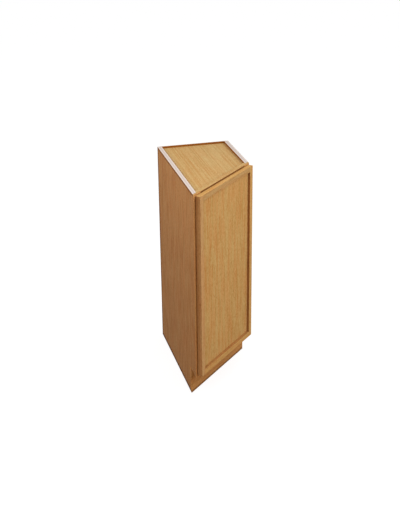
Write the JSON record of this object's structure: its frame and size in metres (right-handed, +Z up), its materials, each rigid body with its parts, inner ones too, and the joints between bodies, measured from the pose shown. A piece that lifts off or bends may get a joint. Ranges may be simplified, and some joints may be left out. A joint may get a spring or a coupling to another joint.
{
  "type": "kitchen end base cabinet",
  "caption": "Kitchen end base cabinet with a front set at 45 degrees, one narrow-framed overlay door, a toe kick and an adjustable shelf.",
  "frame": {"origin": "on the floor, under the middle of the cabinet's whole box, door included", "axes": "+Z up, -Y out of the front along the deep side, +X towards the shallow side"},
  "size_m": [0.3134, 0.6182, 0.8763],
  "materials": {
    "case_wood": "satin clear-coated honey veneer, fine straight grain",
    "top_wood": "satin clear-coated honey veneer, grain from back to front",
    "frame_wood": "satin clear-coated solid wood",
    "door_wood": "satin clear-coated honey veneer and solid wood",
    "inside_ply": "clear-coated plywood",
    "dowel_wood": "plain turned hardwood",
    "hinge_steel": "satin nickel plating",
    "screw_steel": "bright plating",
    "catch_plastic": "moulded",
    "magnet": "sintered ferrite",
    "bumper": "soft clear bumper"
  },
  "bodies": {
    "cabinet": {"left_side": "case_wood", "right_side": "case_wood", "back_panel": "inside_ply", "top_panel": "top_wood", "bottom_panel": "inside_ply", "upper_nailer": "inside_ply", "lower_nailer": "inside_ply", "toe_board": "case_wood", "toe_cleat": "inside_ply", "left_stile": "frame_wood", "right_stile": "frame_wood", "top_rail": "frame_wood", "bottom_rail": "frame_wood", "frame_dowels": "dowel_wood", "shelf": "inside_ply", "shelf_pins": "hinge_steel", "hinge_frame_leaves": "hinge_steel", "hinge_pins": "hinge_steel", "hinge_frame_screws": "screw_steel", "catch_housing": "catch_plastic", "catch_magnet": "magnet", "catch_poles": "hinge_steel", "catch_screws": "screw_steel"},
    "door": {"door_left_stile": "door_wood", "door_right_stile": "door_wood", "door_top_rail": "door_wood", "door_bottom_rail": "door_wood", "door_panel": "door_wood", "door_bumpers": "bumper", "hinge_door_leaves": "hinge_steel", "hinge_door_screws": "screw_steel", "strike_plate": "hinge_steel", "strike_screws": "screw_steel"}
  },
  "joints": [
    {"name": "door_hinge", "type": "hinge", "parent": "cabinet", "child": "door", "pos_m": [0.14529, -0.00308, 0.43815], "axis": [0, 0, 1], "range_deg": [0, 130]}
  ]
}
